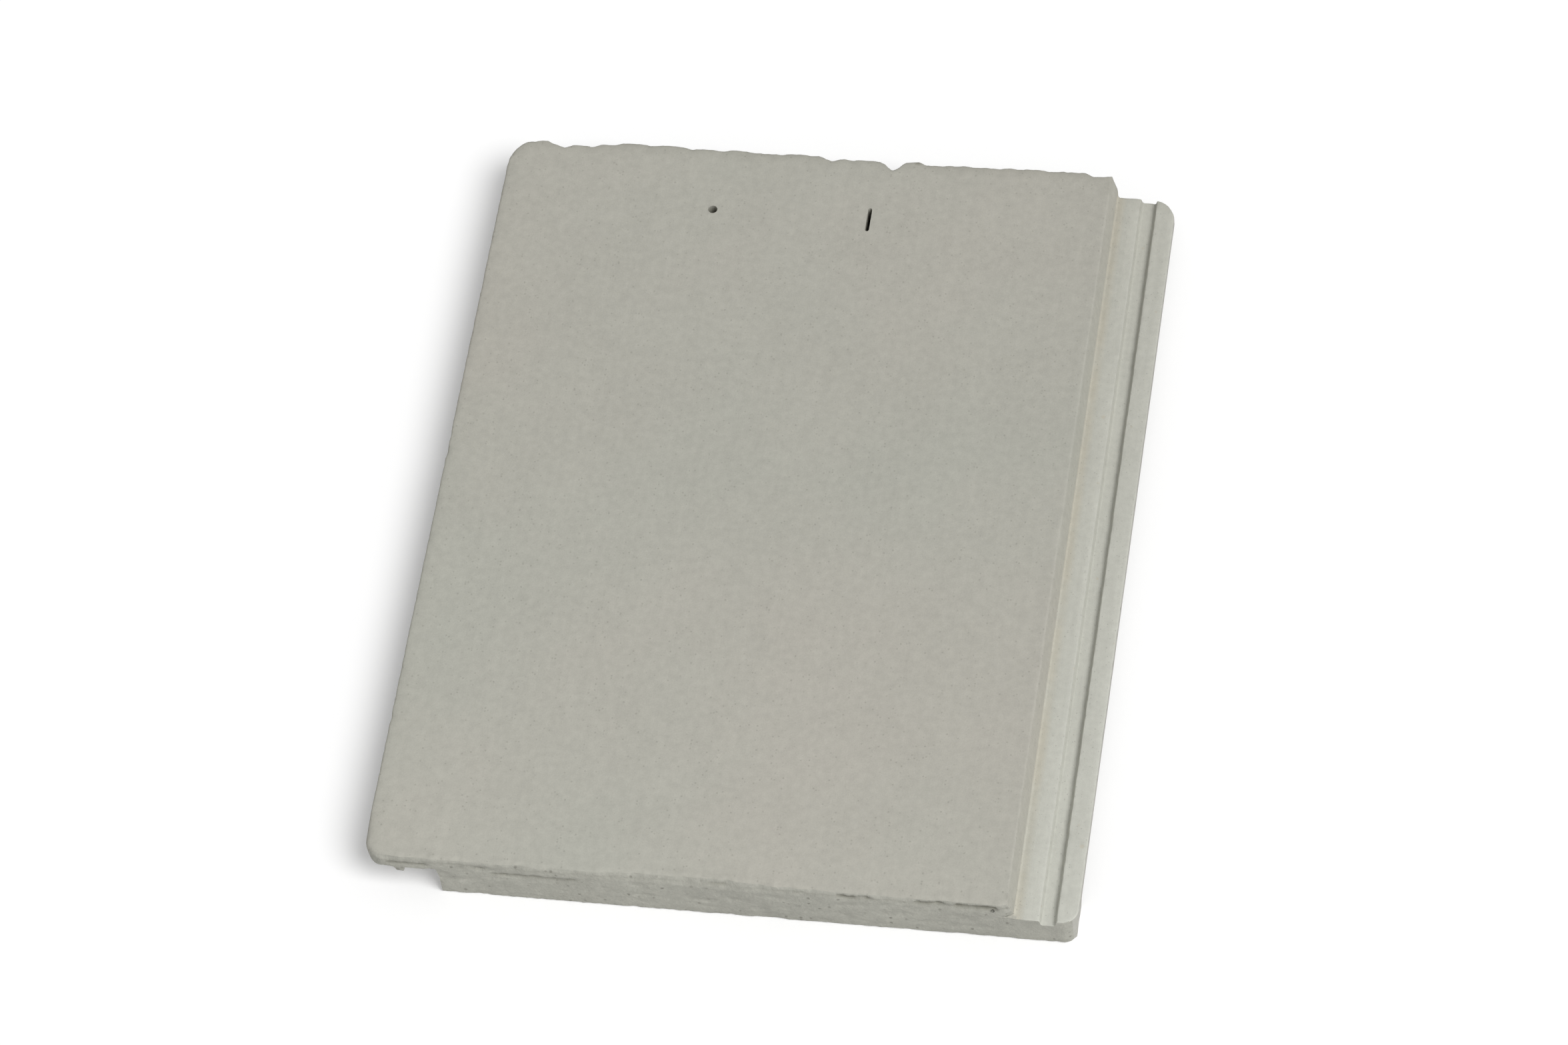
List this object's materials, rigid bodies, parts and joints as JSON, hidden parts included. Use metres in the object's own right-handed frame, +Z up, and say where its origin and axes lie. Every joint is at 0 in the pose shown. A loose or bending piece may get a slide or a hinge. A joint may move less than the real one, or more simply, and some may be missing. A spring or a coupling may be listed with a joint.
{
  "type": "concrete roof tile",
  "caption": "Flat interlocking concrete roof tile with a deep nose, batten nibs, a side underlock with a water channel and a matching overlock.",
  "frame": {"origin": "centre of the tile's bounding box, on the level floor that its nose and nibs stand on", "axes": "+X across the tile towards the underlock, +Y up the slope from the butt to the head, +Z up through the weathered top face"},
  "size_m": [0.33, 0.42, 0.028],
  "materials": {
    "concrete": "matt cast concrete, warm light grey"
  },
  "bodies": {
    "root": {"roof_tile": "concrete"}
  },
  "joints": []
}
